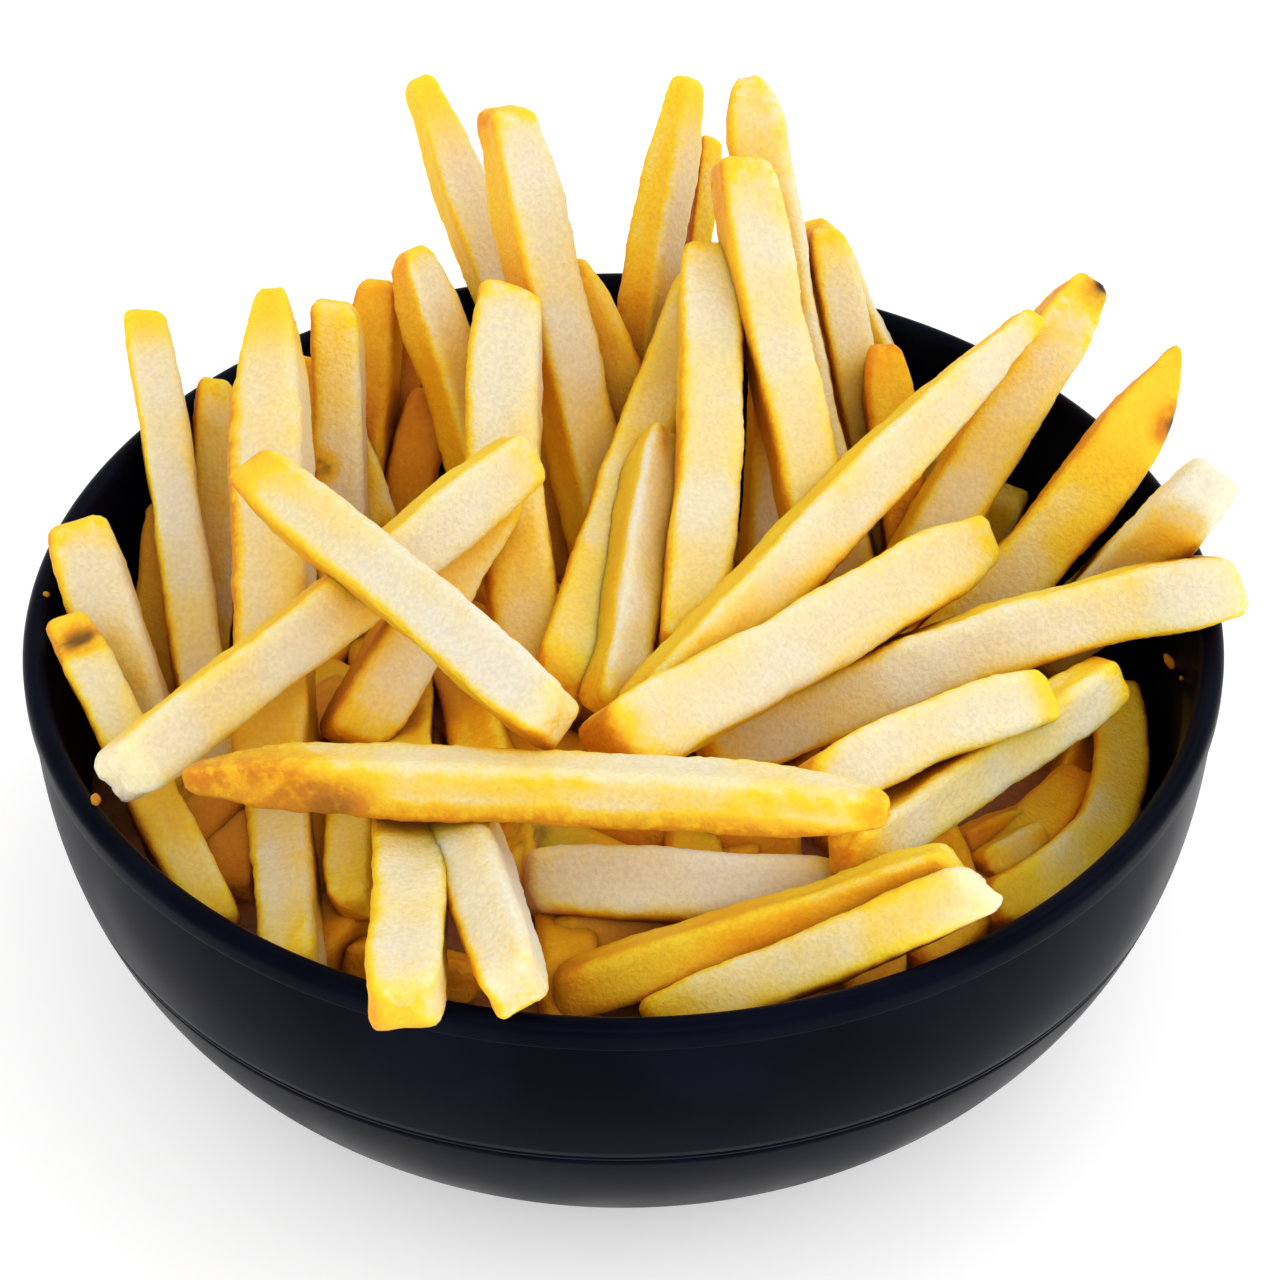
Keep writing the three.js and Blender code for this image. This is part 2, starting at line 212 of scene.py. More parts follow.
# Closed half section with few points, as the heap is laid out on it
def roughSection():
    height, rim, wall = bowl["height"], bowl["rimRadius"], bowl["wall"]
    foot = height - bowl["bandHeight"]
    outside = [(outerRadius(z), z) for z in (0, 2, 5, 10, 15, 20, 30, 40, 50, foot)]
    lip = [(rim, foot), (rim, height - 1.2), (rim - 0.5, height - 0.3), (rim - 1.6, height)]
    lip += [(rim - 2.6, height - 0.3), (rim - bowl["rim"], height - 1.2)]
    inside = [(outerRadius(z) - wall, z) for z in (50, 40, 30, 20, 15, 11, 8)]
    return [(0, 0)] + outside + lip + inside + [(bowl["baseRadius"], bowl["floor"] + 1), (0, bowl["floor"])]


def arcPoints(centreR, centreZ, radius, startDegrees, endDegrees, count):
    turns = [math.radians(blend(startDegrees, endDegrees, k / count)) for k in range(count + 1)]
    return [(centreR + radius * math.cos(a), centreZ + radius * math.sin(a)) for a in turns]


# The same section with a rounded rim and band, a softened foot and the two fine grooves
def fineSection():
    height, rim, wall = bowl["height"], bowl["rimRadius"], bowl["wall"]
    foot = height - bowl["bandHeight"]
    outside = []
    for k in range(1, 61):
        z = blend(1.0, foot - 0.3, (k / 60) ** 1.3)
        outside.append((outerRadius(z), z))
    for groove in bowl["grooves"]:
        half = bowl["grooveWidth"] / 2
        outside = [p for p in outside if abs(p[1] - groove) > half * 1.3]
        for shift, depth in ((-1, 0), (-0.45, 1), (0.45, 1), (1, 0)):
            z = groove + shift * half
            outside.append((outerRadius(z) - depth * bowl["grooveDepth"], z))
    outside.sort(key=lambda p: p[1])
    base = [(0, 0), (bowl["baseRadius"] * 0.5, 0), (bowl["baseRadius"] - 1, 0)]
    base += [(bowl["baseRadius"] - 0.2, 0.1), (outerRadius(0.3), 0.35)]
    band = [(outerRadius(foot - 0.1), foot - 0.1), (rim - 0.45, foot)]
    band += arcPoints(rim - 0.35, foot + 0.37, 0.35, -80, 0, 4)
    lip = arcPoints(rim - 1.6, height - 1.6, 1.6, 0, 90, 9)
    lip += arcPoints(rim - 1.75, height - 1.55, 1.55, 97, 180, 8)
    inside = []
    for k in range(0, 41):
        z = blend(height - 3.6, 7.5, k / 40)
        inside.append((outerRadius(z) - blend(bowl["rim"] - 0.4, wall, smooth(k / 6)), z))
    floor = [(bowl["baseRadius"] + 2.5, 6.2), (bowl["baseRadius"] - 1, 5.3)]
    floor += [(bowl["baseRadius"] * 0.6, bowl["floor"] + 0.2), (0, bowl["floor"])]
    return base + outside + band + lip + inside + floor


def turnedMesh(name, section, segments):
    points, faces = [], []
    rings = []
    for r, z in section:
        if r < 1e-6:
            rings.append([len(points)])
            points.append((0, 0, z * mm))
            continue
        rings.append(list(range(len(points), len(points) + segments)))
        for k in range(segments):
            turn = 2 * math.pi * k / segments
            points.append((r * math.cos(turn) * mm, r * math.sin(turn) * mm, z * mm))
    for low, high in zip(rings, rings[1:]):
        for k in range(segments):
            nextK = (k + 1) % segments
            if len(low) == 1:
                faces.append((low[0], high[nextK], high[k]))
            elif len(high) == 1:
                faces.append((low[k], low[nextK], high[0]))
            else:
                faces.append((low[k], low[nextK], high[nextK], high[k]))
    return meshObject(name, points, faces)


def grainGroup():
    inputs = [
        ("Coarse", "NodeSocketFloat", 400.0),
        ("Fine", "NodeSocketFloat", 1800.0),
        ("Shift", "NodeSocketVector", None),
    ]
    outputs = [("Patches", "NodeSocketFloat"), ("Grain", "NodeSocketFloat")]
    tree, given, result = newTree("surfaceGrain", "ShaderNodeTree", inputs, outputs)
    place = addVector(tree, "ADD", addNode(tree, "ShaderNodeTexCoord").outputs["Object"], given["Shift"])
    coarse = addNode(tree, "ShaderNodeTexNoise", {"Vector": place, "Scale": given["Coarse"], "Detail": 1.0})
    fineLook = {"Vector": place, "Scale": given["Fine"], "Detail": 4.0, "Roughness": 0.6}
    fine = addNode(tree, "ShaderNodeTexNoise", fineLook)
    tree.links.new(coarse.outputs["Fac"], result.inputs["Patches"])
    tree.links.new(fine.outputs["Fac"], result.inputs["Grain"])
    return tree


def addGroup(tree, group, values):
    return addNode(tree, "ShaderNodeGroup", values, node_tree=group).outputs


def newMaterial(name):
    material = bpy.data.materials.new(name)
    material.use_nodes = True
    tree = material.node_tree
    return material, tree, tree.nodes["Principled BSDF"]


def addBump(tree, surface, height, strength, depth):
    bump = addNode(tree, "ShaderNodeBump", {"Strength": strength, "Distance": depth, "Height": height})
    tree.links.new(bump.outputs[0], surface.inputs["Normal"])


grain = grainGroup()


def bowlMaterial():
    look = {
        "dark": (0.0007, 0.0011, 0.0046, 1),
        "light": (0.0018, 0.0026, 0.0080, 1),
        "patchSize": 60.0,
        "grainSize": 2600.0,
        "roughness": (0.28, 0.38),
        "bump": 0.05,
        "bumpDepth": 0.0002,
        "gloss": 0.026,
        "glossTint": (0.72, 0.84, 1.0, 1),
    }
    material, tree, surface = newMaterial("blackGlaze")
    noise = addGroup(tree, grain, {"Coarse": look["patchSize"], "Fine": look["grainSize"]})
    patches = addRamp(tree, noise["Patches"], 0.35, 0.65)
    tree.links.new(addMix(tree, patches, look["dark"], look["light"]), surface.inputs["Base Color"])
    rough = addRamp(tree, noise["Patches"], 0.3, 0.7, *look["roughness"])
    tree.links.new(rough, surface.inputs["Roughness"])
    addBump(tree, surface, noise["Grain"], look["bump"], look["bumpDepth"])
    surface.inputs["Specular IOR Level"].default_value = look["gloss"]
    surface.inputs["Specular Tint"].default_value = look["glossTint"]
    return material


def makeBowl():
    piece = turnedMesh("glazedBowl", fineSection(), bowl["segments"])
    shadeSmooth(piece.data)
    piece.data.materials.append(bowlMaterial())
    finishPiece(piece, "bowl_glaze", "bowl")


makeBowl()
print("bowl turned")


# The filled core that the fries lie on: a low dome, a little higher to the front left
core = {
    "middle": 43,
    "drop": 14,
    "radius": 72,
    "tiltX": 0.06,
    "tiltY": 0.17,
    "steepness": 0.8,
}
# How the fries are laid: along the line of sight, from start to end
resting = {
    "start": 110,
    "end": -110,
    "rimSearch": 75,
    "searchStep": 0.5,
    "steps": 14,
    "cornerReach": 1.09,
    "clearance": 0.35,
    "coreSink": 0.75,
    "buriedSink": 0.1,
    "frySink": 0.94,
    "touch": 0.02,
    "leastStep": 0.15,
    "rootLimit": 45,
}
section = np.array(roughSection())
sectionSides = np.roll(section, -1, axis=0) - section


# Distance from the bowl's body, negative inside its wall
def bowlDistance(point):
    spot = np.array([math.hypot(point[0], point[1]), point[2]])
    offset = spot - section
    along = np.clip((offset * sectionSides).sum(1) / (sectionSides ** 2).sum(1).clip(1e-9), 0, 1)
    nearest = np.hypot(*(offset - sectionSides * along[:, None]).T).min()
    ends = section + sectionSides
    crosses = (section[:, 1] > spot[1]) != (ends[:, 1] > spot[1])
    rise = np.where(crosses, sectionSides[:, 1], 1)
    hits = crosses & (spot[0] < sectionSides[:, 0] * (spot[1] - section[:, 1]) / rise + section[:, 0])
    return -nearest if hits.sum() % 2 else nearest


def coreTop(x, y):
    dome = core["middle"] - core["drop"] * (x * x + y * y) / core["radius"] ** 2
    return dome - core["tiltX"] * x - core["tiltY"] * y


def coreDistance(point):
    if math.hypot(point[0], point[1]) > core["radius"]:
        return math.inf
    return (point[2] - coreTop(point[0], point[1])) * core["steepness"]


# Place of a spot on the sheet, u to the right and v up it, that stands w nearer to the eye
def onSheet(u, v, w):
    scale = 1 - w / sheet["eye"]
    x, y, z = sheet["centre"]
    return np.array([
        x + u * scale,
        y + v * scale * slopeSin - w * slopeCos,
        z + v * scale * slopeCos + w * slopeSin,
    ])


# Depth at which a ball comes to rest on the bowl or the core, past the front rim for a fry inside it
def restingDepth(u, v, ballRadius, fry):
    sink = ballRadius * (resting["buriedSink"] if fry.get("buried") else resting["coreSink"])

    def clearAt(w):
        point = onSheet(u, v, w)
        overCore = math.inf if fry.get("standing") else coreDistance(point) - sink
        return min(bowlDistance(point) - ballRadius, overCore)

    w = resting["start"]
    if fry.get("insideRim"):
        metRim = False
        w = resting["rimSearch"]
        while w > resting["end"]:
            point = onSheet(u, v, w)
            atRim = bowlDistance(point) < ballRadius
            if not atRim and (metRim or point[2] < bowl["height"] - 2 or point[1] > -bowl["baseRadius"]):
                break
            metRim = metRim or atRim
            w -= resting["searchStep"]
        last = -1
        while metRim and clearAt(w) > last:
            last = clearAt(w)
            w -= resting["searchStep"]
    while w > resting["end"]:
        clear = clearAt(w)
        if clear < resting["touch"]:
            return w
        w -= max(clear, resting["leastStep"])
    return -math.inf


# A fry's middle line on the sheet, bowed sideways
def sheetPoint(fry, t):
    du = fry["heel"][0] - fry["tip"][0]
    dv = fry["heel"][1] - fry["tip"][1]
    bow = fry.get("bow", 0) * 4 * t * (1 - t) / math.hypot(du, dv)
    return fry["tip"][0] + du * t - dv * bow, fry["tip"][1] + dv * t + du * bow


# Depth at which a fry laid before holds up a ball at this place, if it passes under it
def depthOnFry(below, u, v, width):
    du = below["heel"][0] - below["tip"][0]
    dv = below["heel"][1] - below["tip"][1]
    s = ((u - below["tip"][0]) * du + (v - below["tip"][1]) * dv) / (du * du + dv * dv)
    if s < -0.1 or s > 1.1:
        return -math.inf
    t = clamp(s)
    lineU, lineV = sheetPoint(below, t)
    reach = (width + below["width"]) / 2 * resting["frySink"]
    away = math.hypot(u - lineU, v - lineV)
    if away >= reach:
        return -math.inf
    return blend(below["tipDepth"], below["heelDepth"], t) + math.sqrt(reach ** 2 - away ** 2)


def supports(fry, laid):
    ballRadius = fry["width"] / 2 * resting["cornerReach"] + resting["clearance"]
    under = [] if fry.get("buried") else [other for other in laid if not other.get("buried")]
    found = []
    for k in range(resting["steps"] + 1):
        t = k / resting["steps"]
        u, v = sheetPoint(fry, t)
        depth = restingDepth(u, v, ballRadius, fry)
        depth = max([depth] + [depthOnFry(other, u, v, fry["width"]) for other in under])
        if depth > resting["end"]:
            found.append((t, depth))
    return found


# With a lean, the fry drops at that slope until it touches. Without one it comes to rest
# on two supports, one on each side of its middle. Its ends may sink a little into what they
# lie on, which joins them to it.
def settle(fry, laid):
    rests = supports(fry, laid)
    if "lean" in fry:
        middle = max(depth - (0.5 - t) * fry["lean"] for t, depth in rests)
        return {**fry, "tipDepth": middle + fry["lean"] / 2, "heelDepth": middle - fry["lean"] / 2}
    best = (-math.inf, 0)
    for t0, depth0 in [rest for rest in rests if rest[0] <= 0.5]:
        for t1, depth1 in [rest for rest in rests if rest[0] >= 0.5]:
            slope = (depth1 - depth0) / (t1 - t0) if t1 > t0 else 0
            best = max(best, (depth0 + slope * (0.5 - t0), slope), key=lambda pair: pair[0])
    middle, slope = best
    tipDepth = middle - slope / 2 - fry.get("tipSink", 0)
    heelDepth = middle + slope / 2 - fry.get("heelSink", 0)
    return {**fry, "tipDepth": tipDepth, "heelDepth": heelDepth}


# A point of a laid fry's middle line. Beyond 1 it runs on past the heel.
def linePoint(fry, t):
    return onSheet(*sheetPoint(fry, t), blend(fry["tipDepth"], fry["heelDepth"], t))


# A rooted fry's hidden heel runs on down until it is in the core
def rooted(fry):
    length = np.linalg.norm(linePoint(fry, 0) - linePoint(fry, 1))
    t = 1
    while (t - 1) * length < resting["rootLimit"]:
        point = linePoint(fry, t)
        if coreDistance(point) < 0 or bowlDistance(point) < fry["width"] / 2:
            break
        t += 1 / length
    heel = [blend(fry["tip"][axis], fry["heel"][axis], t) for axis in (0, 1)]
    return {**fry, "heel": heel, "heelDepth": blend(fry["tipDepth"], fry["heelDepth"], t)}


fries = []


def kind(group, **shared):
    def add(tip, heel, width, **own):
        fry = settle({"group": group, "tip": tip, "heel": heel, "width": width, **shared, **own}, fries)
        fries.append(rooted(fry) if shared.get("root") else fry)
    return add


# Their high gold is partly their own browning and partly painted shade that darkens the gaps
buried = kind("gapFries", buried=True, insideRim=True, gold=0.95)
standing = kind("standingFries", standing=True, root=True, lean=0)
against = kind("standingFries")
middle = kind("middleFries")
left = kind("sideFries")
leftLeaning = kind("sideFries", root=True)
leftInside = kind("sideFries", insideRim=True)
right = kind("sideFries")
rightLeaning = kind("sideFries", root=True)
crossed = kind("topFries")
front = kind("frontFries")
frontInside = kind("frontFries", insideRim=True)
top = kind("topFries")

# Each row gives where the tip and the heel are on the sheet, and the width. A burn or a stain
# is how far from the tip, how far to the side in half widths, length, breadth and strength.
# Some long stains down a side are painted shade. A negative gold makes a fry paler, against
# the painted shade.

# Seen only in the gaps, half sunk in the core
buried((-39.5, -42.5), (-21.5, -46.5), 7.5)
buried((-13, -41), (16, -38.5), 8.5)
buried((-55.5, -21.5), (-54, -34.5), 6.5)
buried((-62.5, 18.5), (-65.5, -12), 8)
buried((60, -13), (56.5, -22.5), 6.6)
buried((55, -23.5), (43, -28), 6)
buried((-11, -26.5), (21.5, -28), 8)
buried((-17, -21.5), (-16, -37.5), 7.5)
buried((-13.5, 41), (-8.5, 6.5), 8, gold=0.7)
buried((32.5, 20), (25, 2.5), 8)
buried((50, 20), (41.5, 2.5), 6.5, gold=0.1)

# Standing against the back wall
standing((-32, 43), (-33.5, 19), 7.5, gold=0.95)
standing((-28, 33), (-32.5, 16), 7.5, gold=0.9)
standing((9, 67.5), (6.5, 45.5), 5, gold=0.45, roll=30)
standing((-29.8, 75.5), (-15.6, 39), 8.4, tipScale=0.55, taper=20, roll=20, yellowTip=12)
standing((6.5, 75.5), (-1, 33.5), 8.3, tipScale=0.6, taper=18, roll=-35, yellowTip=9)
standing((-11, 50), (2, 24), 9, gold=0.4)
standing((23, 56.5), (35, 29.5), 8, tipScale=0.6)
standing((24, 55.5), (30.5, 27), 7.6, tipScale=0.7)
standing((32.5, 39.5), (34.5, 24), 7.2, tipScale=0.7, gold=0.8)
standing((14.5, 75.5), (25, 27), 9.2, bow=-1.5, tipScale=0.45, taper=9, goldTip=7)
standing((-34.8, 48.4), (-37.5, 25.5), 8.4, tipScale=0.7, gold=0.7)
standing((-57, 34.8), (-57.5, 13.5), 6.8, tipScale=0.8, gold=0.15)
standing((-45, 38), (-45, 16), 5.5, gold=0.8)
standing((-31, 52.5), (-23, 27), 9.2, tipScale=0.6, roll=35)
standing((-18.3, 71.6), (-4.6, 13.5), 11.2, tipScale=0.78, taper=22, roll=30)
against((-41, 30.5), (-34.5, 14.5), 6.5)
standing(
    (-41, 45.5), (-38.5, -10), 7.6, gold=0.15,
    burns=[(22.5, -0.7, 0.6, 0.6, 0.5), (23.6, -0.45, 0.5, 0.6, 0.55), (24.3, -0.8, 0.5, 0.5, 0.4)],
    stains=[(23.3, -0.6, 2.4, 2.0, 0.35)],
)

# Middle of the heap, tips to the back
middle((-17, 47), (-12.3, -8), 10.2, bow=-3, roll=0)
middle((19, 37.5), (17.8, 4), 9.8)
middle((8, 47.5), (-11.3, -7), 8.2, gold=0.3)
# The long stain down its side is painted shade
middle(
    (2.9, 27.8), (-4.3, -9.5), 8.8, tipScale=0.6, roll=30, gold=-0.15,
    stains=[(22, -0.95, 34, 1.5, 0.25)],
)
middle((9.6, 52.5), (6, -3.5), 9.5, bow=1, roll=5)
middle((13.2, 64.5), (24.3, 13), 9.8, goldTip=6, roll=12)

# Left side
leftInside((-48.5, -13), (-46.6, -46), 8.4)
leftInside((-38.5, -15.5), (-38.5, -36.5), 7.4)
leftLeaning((-66.5, 43.5), (-57.5, -13.5), 7.6, tipScale=0.8, taper=16, yellowTip=6)
leftLeaning((-75.6, 15.5), (-65.2, -17), 9.4, tipScale=0.85)
left(
    (-49.2, 46.5), (-49.4, -19), 11.2, tipScale=0.42, taper=26, yellowTip=13,
    stains=[(34, -1.0, 40, 1.3, 0.4)],
)
leftInside(
    (-77, 2.4), (-56.3, -39.5), 7.8, tipScale=0.8, gold=0.25,
    burns=[(4.7, 0.2, 0.9, 2.0, 0.75)], stains=[(4.7, 0.2, 2.0, 3.4, 0.5)],
)
left((-31.5, 5.5), (-31.5, -21.5), 7.6, gold=0.5)
left((-27, 6.5), (-19, -21.5), 8, gold=0.7)
left((-39.2, -14), (-19.5, 20), 10.4)

# Right side, fanned out over the rim
rightLeaning(
    (60.4, 48.3), (34.4, 5.8), 9.8, tipScale=0.58, taper=13, gold=0.2, goldTip=12,
    burns=[(0.5, 0.4, 1.3, 1.3, 1.0)], stains=[(1.0, 0.4, 2.6, 2.6, 0.4)],
)
right(
    (72.3, 39.3), (38, -3.3), 9.6, tipScale=0.15, taper=16, bow=3, heelSink=2, gold=0.75, heelGold=0.1,
    burns=[(9.5, 0.95, 1.4, 1.2, 0.9)], stains=[(9.5, 0.9, 3.0, 2.4, 0.5)],
)
rightLeaning((76.6, 20.6), (54.4, -2), 9.4, tipScale=0.72, taper=8, roll=0, gold=-0.8)
right((52.9, 43.6), (1, -9.5), 9.8, tipScale=0.42, taper=55, bow=-0.1)
right((81, 7.5), (8.5, -16), 9.8, bow=-3, goldTip=2)
right((46, 13.2), (-4.5, -15), 11, tipScale=0.62, taper=14)

# The crossed pair on the left
crossed((-70, -18.7), (-14.8, 25.2), 9.6, brokenTip=1)
crossed((-51.9, 22.6), (-11, -11), 9.2, tipScale=0.8, taper=15, gold=0.1, heelGold=-0.3)

# Front, inside the rim
frontInside((54, -26.5), (46, -31), 5.8)
frontInside((63.5, -7), (46.5, -36), 8.4, bow=7.8, gold=0.35)
front((-15.5, -32.7), (30.5, -34.3), 10.6, gold=-0.1, brokenTip=0.4)
front((64, -4.5), (27, -29.5), 9.2, roll=25, gold=0.2)
front((55.3, -7.2), (23, -20.4), 8.8, tipScale=0.85, bow=-1.2, yellowTip=4)
frontInside((-11.5, -48), (43, -30), 7.8, gold=0.75, heelGold=0.3)
frontInside((1.5, -52), (46.5, -33), 8.6, gold=0.15, brokenHeel=1, heelSlant=-0.42)

# Two hung over the front rim, and the long one across them
top((-30, -18), (-31.9, -49.6), 9.4, tipSink=1.5)
top((-24.3, -23), (-16.7, -47.7), 9, gold=-0.15)
top(
    (-61, -18.5), (33.5, -23), 9.3, tipScale=0.4, taper=18, heelScale=0.5, heelTaper=20, bow=1.3, roll=-22,
    burns=[(19, -0.7, 2.6, 1.3, 0.35)],
    stains=[(17, -0.7, 7, 3.0, 0.75), (4, 0.0, 13, 6, 0.5), (55, -1.0, 60, 1.9, 0.4), (91, 0, 4, 6, 0.3)],
)

print("heap laid out,", len(fries), "fries")


# How a fry is cut, in millimetres
cut = {
    "endTaper": 9,
    "endScale": 0.84,
    "capSteps": (0.0, 0.01, 0.06, 0.17, 0.36, 0.65, 1.0),
    "capLength": 1.9,
    "capFlat": 0.45,
    "endGold": 4.2,
    "slant": 0.28,
    "stationStep": 0.75,
    "sides": 44,
    "cornerRadius": 0.32,  # of half the width
    "faceSag": 0.06,
    "lumpSize": 11,
    "lumpHeight": 1.1,
    "bumpSize": 2.4,
    "bumpHeight": 0.38,
    "edgeSize": 1.3,
    "edgeHeight": 0.5,
    "breakSize": 1.9,
    "breakHeight": 2.6,
    "twist": 7,
    "wander": 0.35,
    "slantReach": 3,
    "breakReach": 3.5,
}


# Half width across the line of sight of a rolled square with round corners
def rolledReach(roll, cornerRadius):
    turn = roll % (math.pi / 2)
    return (1 - cornerRadius) * (math.cos(turn) + math.sin(turn)) + cornerRadius


# Middle line of one fry: its stations with everything that the geometry tree needs there
def fryStations(fry, index, rng):
    line = fry.get("line") or (lambda t: linePoint(fry, t))
    length = np.linalg.norm(line(0) - line(1))
    count = max(int(length / fry.get("step", cut["stationStep"])), 8)
    cap = np.array(cut["capSteps"])
    capGirths = cut["capFlat"] + (1 - cut["capFlat"]) * np.sqrt(1 - (1 - cap) ** 2)
    capGirths[0] = 0.02
    cap *= cut["capLength"] / length
    between = np.arange(1, count) / count
    between = between[(between > cap[-1] * 1.4) & (between < 1 - cap[-1] * 1.4)]
    stations = np.concatenate([cap, between, 1 - cap[::-1]])
    ends = np.concatenate([capGirths, np.ones(len(between)), capGirths[::-1]])
    points = np.array([line(t) for t in stations])
    heading = np.array([line(min(t + 0.01, 1)) - line(max(t - 0.01, 0)) for t in stations])
    heading /= np.linalg.norm(heading, axis=1)[:, None]
    across = np.cross(fry.get("up", towardsEye), heading)
    across /= np.linalg.norm(across, axis=1)[:, None]
    over = np.cross(heading, across)
    tipTaper = min(fry.get("taper", cut["endTaper"]) / length, 0.5)
    heelTaper = min(fry.get("heelTaper", cut["endTaper"]) / length, 0.5)
    tipEase = np.sin(np.minimum(stations / tipTaper, 1) * math.pi / 2)
    heelEase = np.sin(np.minimum((1 - stations) / heelTaper, 1) * math.pi / 2)
    girth = blend(fry.get("tipScale", cut["endScale"]), 1, tipEase)
    girth *= blend(fry.get("heelScale", cut["endScale"]), 1, heelEase)
    phase = rng.random(6) * 2 * math.pi
    slowWave = 0.02 * np.sin(stations * length / 7 + phase[0])
    quickWave = 0.015 * np.sin(stations * length / 3.1 + phase[1])
    girth *= 1 + slowWave + quickWave
    wander = cut["wander"] * np.sin(stations * math.pi) * min(length / 60, 1)
    points += across * (wander * np.sin(stations * 5.5 + phase[2]))[:, None]
    points += over * (wander * np.sin(stations * 6.5 + phase[3]))[:, None]
    roll = math.radians(fry.get("roll", ((index * 5) % 7 - 3) * 4))
    fit = rolledReach(roll, cut["cornerRadius"])
    rolls = roll + math.radians(cut["twist"]) * (stations - 0.5) * math.cos(phase[4])
    facing = over * np.cos(rolls)[:, None] + across * np.sin(rolls)[:, None]
    fromTip = stations * length
    fromHeel = (1 - stations) * length
    slantTip, slantHeel = rng.uniform(-cut["slant"], cut["slant"], (2, 2))
    slantHeel[0] = fry.get("heelSlant", slantHeel[0])
    tipMask = np.exp(-(fromTip / cut["slantReach"]) ** 2)[:, None]
    heelMask = np.exp(-(fromHeel / cut["slantReach"]) ** 2)[:, None]
    slant = (across * slantTip[0] + over * slantTip[1]) * tipMask
    slant += (across * slantHeel[0] + over * slantHeel[1]) * heelMask
    goldTip = np.exp(-(fromTip / fry.get("goldTip", cut["endGold"])) ** 1.5)
    goldHeel = np.exp(-(fromHeel / cut["endGold"]) ** 1.5)
    yellow = np.exp(-(fromTip / fry["yellowTip"]) ** 3) if "yellowTip" in fry else 0 * stations
    tipGold = fry.get("gold", 0.04 + 0.1 * rng.random())
    return {
        "points": points * mm,
        "middle": points * mm,
        "girth": girth * ends * fry["width"] / 2 / fit * mm,
        "facing": facing,
        "heading": heading,
        "across": across,
        "over": over,
        "slant": slant,
        "fromTip": fromTip,
        "fromHeel": fromHeel,
        "gold": blend(tipGold, fry.get("heelGold", tipGold), smooth(stations)),
        "flank": np.clip(ends * 4 - 3, 0, 1),
        "ends": np.maximum(goldTip, goldHeel) * (0.6 + 0.4 * rng.random()),
        "yellow": yellow,
        "broken": np.maximum(
            fry.get("brokenTip", 0) * np.exp(-(fromTip / cut["breakReach"]) ** 2),
            fry.get("brokenHeel", 0) * np.exp(-(fromHeel / cut["breakReach"]) ** 2),
        ),
        "fry": np.full(len(stations), float(index)),
        "own": np.full(len(stations), rng.random()),
    }


reliefs = ("Lump", "Bump", "Edge", "Break")


